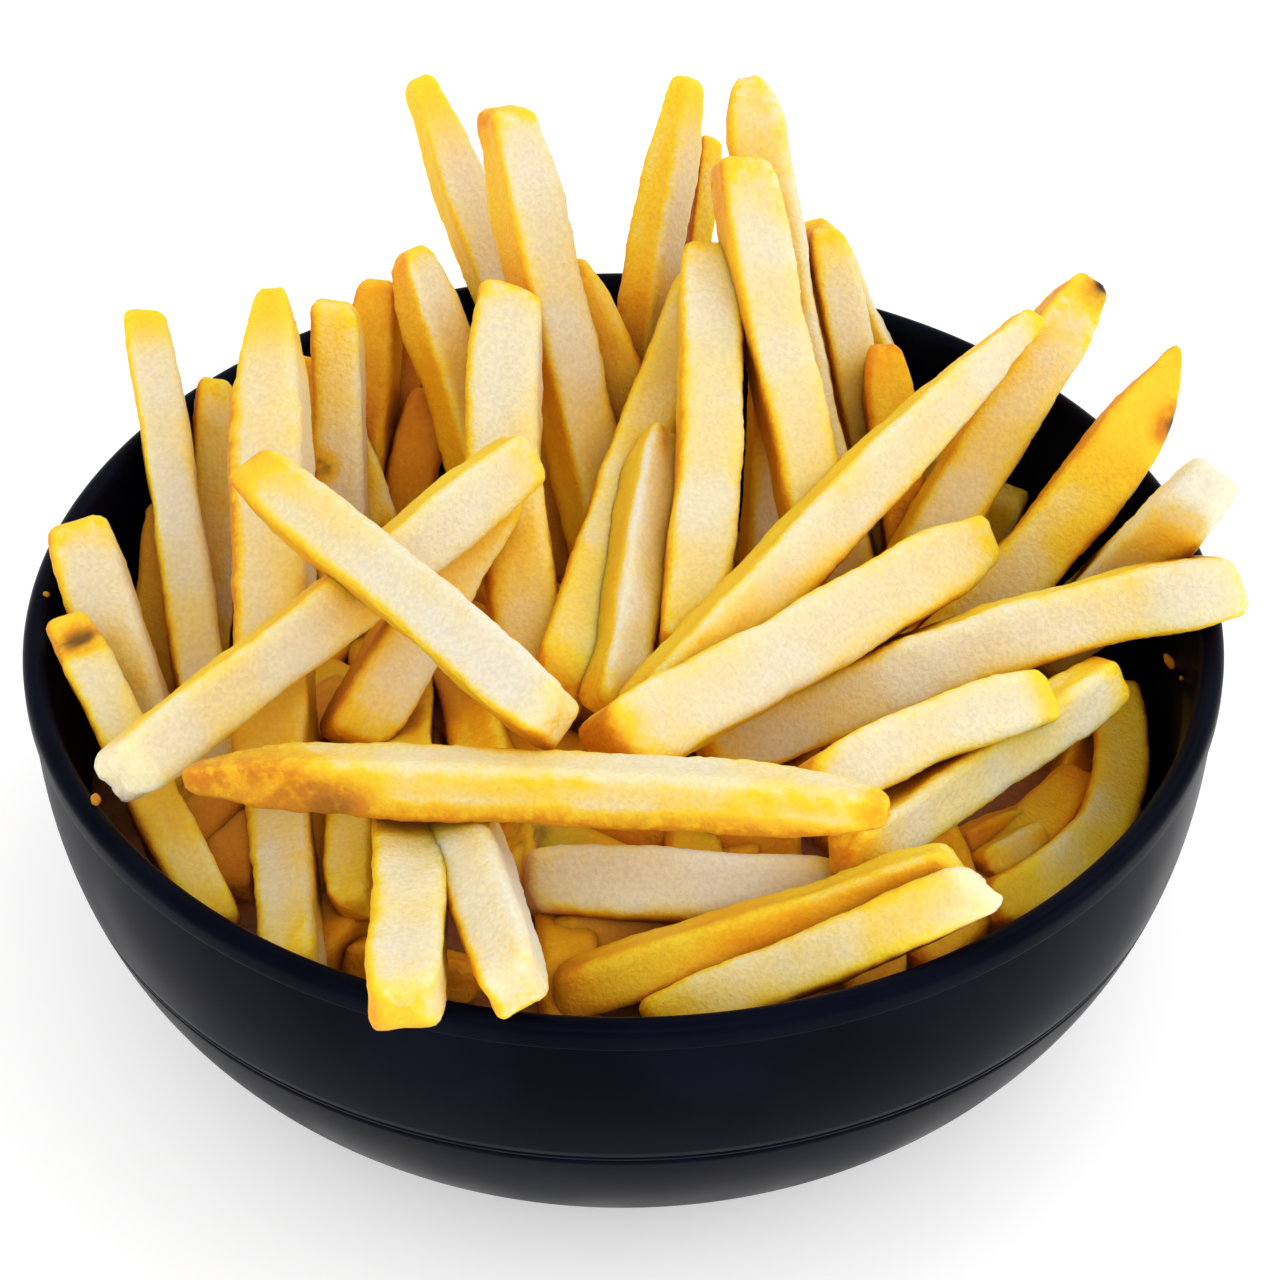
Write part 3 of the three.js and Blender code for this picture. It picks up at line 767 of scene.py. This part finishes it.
def fryTree():
    inputs = [
        ("Guide", "NodeSocketGeometry", None),
        ("Sides", "NodeSocketInt", 44),
        ("Corner Radius", "NodeSocketFloat", 0.5),
        ("Face Sag", "NodeSocketFloat", 0.03),
        ("Material", "NodeSocketMaterial", None),
    ]
    for name in reliefs:
        inputs.append((name + " Size", "NodeSocketFloat", 0.002))
        inputs.append((name + " Height", "NodeSocketFloat", 0.0005))
    tree, given, result = newTree("cutFries", "GeometryNodeTree", inputs, [("Fries", "NodeSocketGeometry")])

    def named(name, dataType="FLOAT"):
        node = addNode(tree, "GeometryNodeInputNamedAttribute", {"Name": name}, data_type=dataType)
        return node.outputs["Attribute"]

    def moved(geometry, shift):
        return addNode(tree, "GeometryNodeSetPosition", {"Geometry": geometry, "Offset": shift}).outputs[0]

    # Section: a square with round corners and slightly sunken faces, marked where its corners are
    sides = {"Width": 2.0, "Height": 2.0}
    square = addNode(tree, "GeometryNodeCurvePrimitiveQuadrilateral", sides).outputs[0]
    fillet = {"Curve": square, "Count": 5, "Radius": given["Corner Radius"]}
    rounded = addNode(tree, "GeometryNodeFilletCurve", fillet, mode="POLY").outputs[0]
    spacing = {"Curve": rounded, "Count": given["Sides"]}
    profile = addNode(tree, "GeometryNodeResampleCurve", spacing, mode="COUNT").outputs[0]
    position = addNode(tree, "GeometryNodeInputPosition").outputs[0]
    aside = addVector(tree, "ABSOLUTE", position, (0, 0, 0))
    parts = addNode(tree, "ShaderNodeSeparateXYZ", {0: aside}).outputs
    nearCorner = addMath(tree, "MINIMUM", parts["X"], parts["Y"])
    mark = {"Geometry": profile, "Name": "corner", "Value": addRamp(tree, nearCorner, 0.3, 0.85)}
    profile = addNode(tree, "GeometryNodeStoreNamedAttribute", mark, data_type="FLOAT").outputs[0]
    flat = addMath(tree, "SUBTRACT", 1.0, nearCorner)
    shrink = addMath(tree, "SUBTRACT", 1.0, addMath(tree, "MULTIPLY", flat, given["Face Sag"]))
    sunken = addVector(tree, "SCALE", position, shrink)
    profile = addNode(tree, "GeometryNodeSetPosition", {"Geometry": profile, "Position": sunken}).outputs[0]

    curve = addNode(tree, "GeometryNodeMeshToCurve", {"Mesh": given["Guide"]}).outputs[0]
    facing = {"Curve": curve, "Normal": named("facing", "FLOAT_VECTOR")}
    curve = addNode(tree, "GeometryNodeSetCurveNormal", facing, mode="FREE").outputs[0]
    sweep = {"Curve": curve, "Profile Curve": profile, "Scale": named("girth"), "Fill Caps": True}
    solid = addNode(tree, "GeometryNodeCurveToMesh", sweep).outputs[0]

    # Ends cut at a slant
    aside = addVector(tree, "SUBTRACT", position, named("middle", "FLOAT_VECTOR"))
    shift = addVector(tree, "DOT_PRODUCT", aside, named("slant", "FLOAT_VECTOR"))
    solid = moved(solid, addVector(tree, "SCALE", named("heading", "FLOAT_VECTOR"), shift))

    # Relief: soft lumps, small bumps, ragged edges and torn ends
    ownShift = addMath(tree, "MULTIPLY", named("own"), 3.0)
    away = addNode(tree, "ShaderNodeCombineXYZ", {"X": ownShift}).outputs[0]
    place = addVector(tree, "ADD", position, away)

    def relief(name, detail, at=place):
        scale = addMath(tree, "DIVIDE", 1.0, given[name + " Size"])
        noise = addNode(tree, "ShaderNodeTexNoise", {"Vector": at, "Scale": scale, "Detail": detail})
        centred = addMath(tree, "SUBTRACT", noise.outputs["Fac"], 0.5)
        return addMath(tree, "MULTIPLY", centred, given[name + " Height"])

    edges = addMath(tree, "MULTIPLY", relief("Edge", 1.0), named("corner"))
    height = addMath(tree, "ADD", addMath(tree, "ADD", relief("Lump", 1.0), relief("Bump", 2.0)), edges)
    normal = addNode(tree, "GeometryNodeInputNormal").outputs[0]
    solid = moved(solid, addVector(tree, "SCALE", normal, height))
    crumble = relief("Break", 2.0, addVector(tree, "ADD", aside, away))
    torn = addMath(tree, "MULTIPLY", crumble, named("broken"))
    solid = moved(solid, addVector(tree, "SCALE", named("heading", "FLOAT_VECTOR"), torn))

    solid = addNode(tree, "GeometryNodeSetShadeSmooth", {"Geometry": solid}).outputs[0]
    solid = addNode(tree, "GeometryNodeRealizeInstances", {"Geometry": solid}).outputs[0]
    dressed = {"Geometry": solid, "Material": given["Material"]}
    solid = addNode(tree, "GeometryNodeSetMaterial", dressed).outputs[0]
    tree.links.new(solid, result.inputs["Fries"])
    return tree


# Cream with a fine grain. Gold gathers on edges and ends. Sides turned from the light get
# painted shade in gold, and the gaps get painted shade that deepens to amber.
def friedMaterial():
    look = {
        "tones": [  # from pale potato to deep gold, which the painted shade also reaches, with how far along each stands
            (0.0, (0.80, 0.745, 0.60, 1)),
            (0.2, (0.82, 0.715, 0.44, 1)),
            (0.44, (0.95, 0.65, 0.028, 1)),
            (0.8, (0.95, 0.47, 0.005, 1)),
            (1.0, (0.80, 0.29, 0.004, 1)),
        ],
        "yellow": (0.93, 0.63, 0.018, 1),
        "deep": (0.20, 0.038, 0.002, 1),
        "brown": (0.42, 0.17, 0.012, 1),
        "starch": (0.92, 0.84, 0.62, 1),
        "burnt": (0.035, 0.012, 0.006, 1),
        "scatter": (1.0, 0.78, 0.22),
        "scatterReach": 0.005,
        "scatterShare": 0.7,
        "gloss": 0.22,
        "roughness": (0.45, 0.6),
        "broadGrain": {"Coarse": 70.0, "Fine": 450.0},
        "fineGrain": {"Coarse": 1500.0, "Fine": 3600.0},
        "gapReach": 0.012,
        "gapSamples": 6,
        "lightSide": (0.62, -0.30, 0.72),
        "goldTurned": 0.7,  # how much gold each cause adds at most; the turned and hidden amounts are painted shade
        "goldHidden": 0.75,
        "goldPatches": 0.2,
        "goldEdges": (0.03, 0.17),
        "goldEnds": (0.2, 0.5),
        "goldOwn": 0.75,
        "goldScale": 0.8,
        "stainAndShadeShare": 0.55,
        "starchShare": 0.85,
        "speckle": (0.955, 1.04),
        "bump": 0.6,
        "bumpDepth": 0.0005,
    }
    material, tree, surface = newMaterial("friedPotato")

    def named(name):
        return addNode(tree, "ShaderNodeAttribute", attribute_name=name).outputs["Fac"]

    def times(a, b):
        return addMath(tree, "MULTIPLY", a, b)

    def plus(a, b):
        return addMath(tree, "ADD", a, b)

    away = addNode(tree, "ShaderNodeCombineXYZ", {"X": times(named("own"), 3.0)}).outputs[0]
    broad = addGroup(tree, grain, {**look["broadGrain"], "Shift": away})
    fine = addGroup(tree, grain, {**look["fineGrain"], "Shift": away})
    reach = {"Distance": look["gapReach"]}
    openness = addNode(tree, "ShaderNodeAmbientOcclusion", reach, samples=look["gapSamples"]).outputs["AO"]
    normal = addNode(tree, "ShaderNodeNewGeometry").outputs["Normal"]
    # Painted shade: sides that face away from the light are painted golden
    towardsLight = addVector(tree, "DOT_PRODUCT", normal, look["lightSide"])
    turned = addRamp(tree, towardsLight, 0.85, -0.3, 0.0, look["goldTurned"])
    # Painted shade: gold where other fries close in round the surface
    hidden = addRamp(tree, openness, 0.95, 0.15, 0.0, look["goldHidden"])
    patches = addRamp(tree, broad["Patches"], 0.35, 0.65, 0.0, look["goldPatches"])
    edgeGold = addRamp(tree, broad["Grain"], 0.35, 0.7, *look["goldEdges"])
    edge = times(times(named("corner"), named("flank")), edgeGold)
    ends = times(named("ends"), addRamp(tree, broad["Grain"], 0.3, 0.6, *look["goldEnds"]))
    stains = times(named("stains"), addRamp(tree, broad["Grain"], 0.3, 0.6, 0.7, 1.3))
    own = plus(times(named("gold"), look["goldOwn"]), stains)
    # The sum holds the fries' own gold together with the painted shade
    gold = plus(plus(plus(turned, hidden), plus(patches, edge)), plus(ends, own))
    tones = addNode(tree, "ShaderNodeValToRGB", {"Fac": times(gold, look["goldScale"])})
    stops = tones.color_ramp.elements
    stops[1].position = 0.0
    for k, (spot, tone) in enumerate(look["tones"]):
        stop = stops[k] if k < 2 else stops.new(spot)
        stop.position = spot
        stop.color = tone
    colour = addMix(tree, named("yellow"), tones.outputs["Color"], look["yellow"])
    colour = addMix(tree, times(stains, look["stainAndShadeShare"]), colour, look["brown"])
    # Painted shade: the deepest gaps are painted dark brown
    colour = addMix(tree, addRamp(tree, openness, 0.5, 0.05), colour, look["deep"])
    colour = addMix(tree, times(named("broken"), look["starchShare"]), colour, look["starch"])
    colour = addMix(tree, named("burns"), colour, look["burnt"])
    speckle = addRamp(tree, fine["Patches"], 0.3, 0.7, *look["speckle"])
    colour = addVector(tree, "SCALE", colour, speckle)
    tree.links.new(colour, surface.inputs["Base Color"])
    rough = addRamp(tree, fine["Patches"], 0.3, 0.7, *look["roughness"])
    tree.links.new(rough, surface.inputs["Roughness"])
    height = plus(fine["Patches"], times(fine["Grain"], 0.5))
    addBump(tree, surface, height, look["bump"], look["bumpDepth"])
    surface.inputs["Subsurface Weight"].default_value = look["scatterShare"]
    surface.inputs["Subsurface Radius"].default_value = look["scatter"]
    surface.inputs["Subsurface Scale"].default_value = look["scatterReach"]
    surface.inputs["Specular IOR Level"].default_value = look["gloss"]
    return material


# Burns and stains of the fries that have them, some stains down a side being painted shade
def paintMarks(piece, chosen):
    mesh = piece.data
    co = np.zeros(len(mesh.vertices) * 3, dtype=np.float32)
    mesh.vertices.foreach_get("co", co)
    aside = (co.reshape(-1, 3) - readField(mesh, "middle")) / mm
    side = (aside * readField(mesh, "across")).sum(1)
    facing = (aside * readField(mesh, "over")).sum(1)
    fromTip = readField(mesh, "fromTip")
    owner = readField(mesh, "fry").round().astype(int)
    for name in ("burns", "stains"):
        amount = np.zeros(len(mesh.vertices))
        for index, fry in chosen:
            half = fry["width"] / 2
            here = (owner == index) & (facing > -half * 0.5)
            for distance, shift, length, breadth, strength in fry.get(name, []):
                spread = np.hypot((fromTip - distance) / length, (side - shift * half) / breadth)
                amount = np.maximum(amount, np.where(here, strength * smooth(1.6 - spread), 0))
        storeField(mesh, name, amount)


# What only the making of a fry needs
layoutFields = ["middle", "across", "over", "heading", "slant"]
layoutFields += ["facing", "girth", "fromTip", "fromHeel", "fry"]


def makeFries(name, chosen, tree, material, sides):
    points, edges = [], []
    fields = {}
    for index, fry in chosen:
        rng = np.random.default_rng(100 + index)
        stations = fryStations(fry, index, rng)
        start = len(points)
        points.extend(stations.pop("points"))
        edges.extend((k, k + 1) for k in range(start, len(points) - 1))
        for field, values in stations.items():
            fields.setdefault(field, []).append(values)
    piece = meshObject(name, points, [], edges)
    for field, values in fields.items():
        storeField(piece.data, field, np.concatenate(values))
    values = {
        "Sides": sides,
        "Corner Radius": cut["cornerRadius"],
        "Face Sag": cut["faceSag"],
        "Material": material,
    }
    for relief in reliefs:
        values[relief + " Size"] = cut[relief.lower() + "Size"] * mm
        values[relief + " Height"] = cut[relief.lower() + "Height"] * mm
    bakeTree(piece, tree, values)
    paintMarks(piece, chosen)
    for field in layoutFields:
        piece.data.attributes.remove(piece.data.attributes[field])
    finishPiece(piece, "fried_potato", "fries")
    print(name, len(piece.data.polygons), "faces")


# Crumbs that stick to the wall inside the bowl
crumbs = {
    "places": [  # on the sheet, with the size and the stretch
        (-79.8, 6.1, 0.45, 1.0),
        (-73.2, -21.5, 0.75, 1.3),
        (-71.4, -23.5, 0.4, 1.0),
        (71.1, -2.8, 0.8, 1.7),
        (72.7, -5.1, 0.3, 1.0),
        (66.1, -24.0, 0.4, 1.0),
    ],
    "standOff": 0.6,
    "flatness": 0.8,
    "roughness": 0.6,
    "grain": 900.0,
    "seed": 5,
    "gold": 0.9,
}


def crumbTree():
    inputs = [
        ("Spots", "NodeSocketGeometry", None),
        ("Roughness", "NodeSocketFloat", 0.0006),
        ("Grain", "NodeSocketFloat", 900.0),
        ("Seed", "NodeSocketInt", 5),
        ("Material", "NodeSocketMaterial", None),
    ]
    outputs = [("Crumbs", "NodeSocketGeometry")]
    tree, given, result = newTree("looseCrumbs", "GeometryNodeTree", inputs, outputs)
    ball = addNode(tree, "GeometryNodeMeshIcoSphere", {"Radius": 1.0, "Subdivisions": 4}).outputs["Mesh"]
    size = addNode(tree, "GeometryNodeInputNamedAttribute", {"Name": "size"}, data_type="FLOAT_VECTOR")
    anyTurn = {"Min": (0, 0, 0), "Max": (6.28, 6.28, 6.28), "Seed": given["Seed"]}
    turn = addNode(tree, "FunctionNodeRandomValue", anyTurn, data_type="FLOAT_VECTOR")
    placing = {
        "Points": given["Spots"],
        "Instance": ball,
        "Scale": size.outputs["Attribute"],
        "Rotation": turn.outputs["Value"],
    }
    placed = addNode(tree, "GeometryNodeInstanceOnPoints", placing).outputs[0]
    solid = addNode(tree, "GeometryNodeRealizeInstances", {"Geometry": placed}).outputs[0]
    position = addNode(tree, "GeometryNodeInputPosition").outputs[0]
    noise = addNode(tree, "ShaderNodeTexNoise", {"Vector": position, "Scale": given["Grain"], "Detail": 2.0})
    centred = addMath(tree, "SUBTRACT", noise.outputs["Fac"], 0.5)
    height = addMath(tree, "MULTIPLY", centred, given["Roughness"])
    relief = addVector(tree, "SCALE", addNode(tree, "GeometryNodeInputNormal").outputs[0], height)
    solid = addNode(tree, "GeometryNodeSetPosition", {"Geometry": solid, "Offset": relief}).outputs[0]
    solid = addNode(tree, "GeometryNodeSetShadeSmooth", {"Geometry": solid}).outputs[0]
    dressed = {"Geometry": solid, "Material": given["Material"]}
    solid = addNode(tree, "GeometryNodeSetMaterial", dressed).outputs[0]
    tree.links.new(solid, result.inputs["Crumbs"])
    return tree


def makeCrumbs(material):
    points, sizes = [], []
    for u, v, size, stretch in crumbs["places"]:
        depth = restingDepth(u, v, size * crumbs["standOff"], {"standing": True})
        points.append(onSheet(u, v, depth) * mm)
        sizes.append((size * mm, size * stretch * mm, size * crumbs["flatness"] * mm))
    piece = meshObject("crumbs", points, [])
    storeField(piece.data, "size", sizes)
    bakeTree(piece, crumbTree(), {
        "Roughness": crumbs["roughness"] * mm,
        "Grain": crumbs["grain"],
        "Seed": crumbs["seed"],
        "Material": material,
    })
    for field in ("gold", "stains"):
        storeField(piece.data, field, np.full(len(piece.data.vertices), crumbs["gold"]))
    finishPiece(piece, "fried_potato", "fries")
    print("crumbs", len(piece.data.polygons), "faces")


# Fries half sunk in the core, under those that show
under = {
    "count": 28,
    "spread": 60,
    "centre": -2,
    "halfLength": 24,
    "halfLengthSpread": 8,
    "width": 8,
    "widthSpread": 1.2,
    "rise": 1.5,
    "wallGap": 3,
    # partly their own browning and partly painted shade that darkens the gaps
    "gold": 1.0,
    "sides": 28,
    "step": 1.4,
}


# Fries at spots of a sunflower pattern, pointing any way, with their ends kept off the wall
def underFries():
    goldenAngle = math.pi * (3 - math.sqrt(5))
    seed = 7
    laid = []

    def draw():
        nonlocal seed
        seed = seed * 16807 % 2147483647
        return seed / 2147483647

    for i in range(under["count"]):
        spread = under["spread"] * math.sqrt((i + 0.5) / under["count"])
        x = under["centre"] + spread * math.cos(i * goldenAngle)
        y = under["centre"] + spread * math.sin(i * goldenAngle)
        turn = draw() * math.pi
        half = under["halfLength"] + under["halfLengthSpread"] * draw()
        width = under["width"] + under["widthSpread"] * draw()
        ends = []
        for reach in (-half, half):
            end = np.array([x + reach * math.cos(turn), y + reach * math.sin(turn)])
            while True:
                height = coreTop(*end) + under["rise"]
                if math.hypot(*end) <= outerRadius(height) - bowl["wall"] - width / 2 - under["wallGap"]:
                    break
                end = end * 0.98
            ends.append(np.array([end[0], end[1], height]))
        laid.append({
            "width": width,
            "line": lambda t, ends=ends: blend(ends[0], ends[1], t),
            "up": np.array([0.0, 0.0, 1.0]),
            "gold": under["gold"],
            "step": under["step"],
        })
    return laid


def coreMesh():
    look = {
        "segments": 160,
        "rings": 40,
        "heights": (8, 11, 15, 20, 26, 32, 38, 44),  # of the rings along the wall
        "footLift": 1.5,
        "middleLift": 1.2,
        "gap": 0.3,
        "halvings": 30,
        "merge": 0.02,
    }
    rings = []

    # Point of a ring at this reach, and how far it is clear of the wall at its own height
    def spotAt(reach, turn, heightAt):
        x, y = reach * math.cos(turn), reach * math.sin(turn)
        height = heightAt(x, y)
        return (x, y, height), outerRadius(height) - bowl["wall"] - look["gap"] - reach

    # Points that would be in the wall move inwards until they are just clear of it
    def ring(radius, heightAt):
        spots = []
        for k in range(look["segments"]):
            turn = 2 * math.pi * k / look["segments"]
            spot, clear = spotAt(radius, turn, heightAt)
            if clear < 0:
                inner, outer = radius * 0.5, radius
                for step in range(look["halvings"]):
                    reach = (inner + outer) / 2
                    spot, clear = spotAt(reach, turn, heightAt)
                    inner, outer = (reach, outer) if clear > 0 else (inner, reach)
            spots.append(spot)
        return spots

    rings.append(ring(bowl["baseRadius"] - 2, lambda x, y: bowl["floor"] + look["footLift"]))
    for z in look["heights"]:
        radius = outerRadius(z) - bowl["wall"] - look["gap"]
        rings.append(ring(radius, lambda x, y: min(z, coreTop(x, y))))
    for k in range(look["rings"]):
        rings.append(ring((core["radius"] - 1) * (1 - k / look["rings"]), coreTop))
    points = [(0, 0, bowl["floor"] + look["middleLift"])]
    points += [point for one in rings for point in one]
    points.append((0, 0, coreTop(0, 0)))
    faces = []
    n = look["segments"]
    last = len(points) - 1
    for k in range(n):
        j = (k + 1) % n
        faces.append((0, 1 + j, 1 + k))
        faces.append((last, last - n + k, last - n + j))
        for r in range(len(rings) - 1):
            a = 1 + r * n
            faces.append((a + k, a + j, a + n + j, a + n + k))
    piece = meshObject("heapCore", [np.array(p) * mm for p in points], faces)
    # Rings that met at the wall become one, without faces of no size
    form = bmesh.new()
    form.from_mesh(piece.data)
    bmesh.ops.remove_doubles(form, verts=form.verts, dist=look["merge"] * mm)
    bmesh.ops.recalc_face_normals(form, faces=form.faces)
    form.to_mesh(piece.data)
    form.free()
    return piece


# The core stands for the fries deep in the heap. Its dark brown is painted shade for the deep gaps, where it
# shows.
def coreMaterial():
    look = {
        "dark": (0.10, 0.02, 0.002, 1),
        "light": (0.34, 0.11, 0.012, 1),
        "patchSize": 160.0,
        "grainSize": 900.0,
        "roughness": (0.5, 0.7),
        "bump": 0.6,
        "bumpDepth": 0.0006,
    }
    material, tree, surface = newMaterial("paintedShadeCore")
    noise = addGroup(tree, grain, {"Coarse": look["patchSize"], "Fine": look["grainSize"]})
    tree.links.new(addMix(tree, noise["Patches"], look["dark"], look["light"]), surface.inputs["Base Color"])
    addBump(tree, surface, noise["Grain"], look["bump"], look["bumpDepth"])
    rough = addRamp(tree, noise["Grain"], 0.3, 0.7, *look["roughness"])
    tree.links.new(rough, surface.inputs["Roughness"])
    return material


def makeHeap():
    tree = fryTree()
    material = friedMaterial()
    groups = ["gapFries", "standingFries", "middleFries", "sideFries", "frontFries", "topFries"]
    for name in groups:
        chosen = [(k, fry) for k, fry in enumerate(fries) if fry["group"] == name]
        makeFries(name, chosen, tree, material, cut["sides"])
    hidden = [(len(fries) + k, fry) for k, fry in enumerate(underFries())]
    makeFries("underFries", hidden, tree, material, under["sides"])
    makeCrumbs(material)
    heapCore = coreMesh()
    shadeSmooth(heapCore.data)
    heapCore.data.materials.append(coreMaterial())
    finishPiece(heapCore, "fried_potato", "fries")


makeHeap()
print("fries cut")


def addFloor():
    floor = {"half": 3.0, "colour": (0.74, 0.74, 0.75, 1), "glow": 0.55, "roughness": 0.9, "gloss": 0.1}
    half = floor["half"]
    corners = [(-half, -half, 0), (half, -half, 0), (half, half, 0), (-half, half, 0)]
    piece = meshObject("floor", corners, [(0, 1, 2, 3)])
    material, tree, surface = newMaterial("paleFloor")
    surface.inputs["Base Color"].default_value = floor["colour"]
    surface.inputs["Roughness"].default_value = floor["roughness"]
    surface.inputs["Specular IOR Level"].default_value = floor["gloss"]
    surface.inputs["Emission Color"].default_value = floor["colour"]
    surface.inputs["Emission Strength"].default_value = floor["glow"]
    piece.data.materials.append(material)


def addSoftbox(name, place, target, size, power, tint=(1, 1, 1)):
    data = bpy.data.lights.new(name, "AREA")
    data.shape = "RECTANGLE"
    data.size, data.size_y = size
    data.energy = power
    data.color = tint
    light = bpy.data.objects.new(name, data)
    light.location = place
    light.rotation_euler = (Vector(target) - Vector(place)).to_track_quat("-Z", "Y").to_euler()
    bpy.context.scene.collection.objects.link(light)


# Softboxes with their place, size and power, all turned to the middle of the heap
def addLights():
    heart = (0, 0, 0.06)
    addSoftbox("keyLight", (0.45, -0.5, 0.7), heart, (0.8, 0.8), 0.8)
    addSoftbox("backLight", (0.42, 0.38, 0.8), heart, (0.5, 0.5), 1.0)
    addSoftbox("fillLight", (-0.6, -0.45, 0.55), heart, (0.9, 0.9), 0.8)
    addSoftbox("sideLight", (0.8, -0.1, 0.32), heart, (0.3, 0.5), 1.0)
    addSoftbox("frontLight", (0.05, -0.85, 0.72), heart, (0.6, 0.4), 1.6, tint=(1.0, 0.94, 0.84))
    world = bpy.data.worlds.new("studio")
    world.use_nodes = True
    sky = world.node_tree.nodes["Background"]
    sky.inputs["Color"].default_value = (1.0, 0.99, 0.97, 1)
    sky.inputs["Strength"].default_value = 0.9
    bpy.context.scene.world = world
    bpy.context.scene.view_settings.view_transform = "Standard"


addFloor()
addLights()
print("floor and lights set")
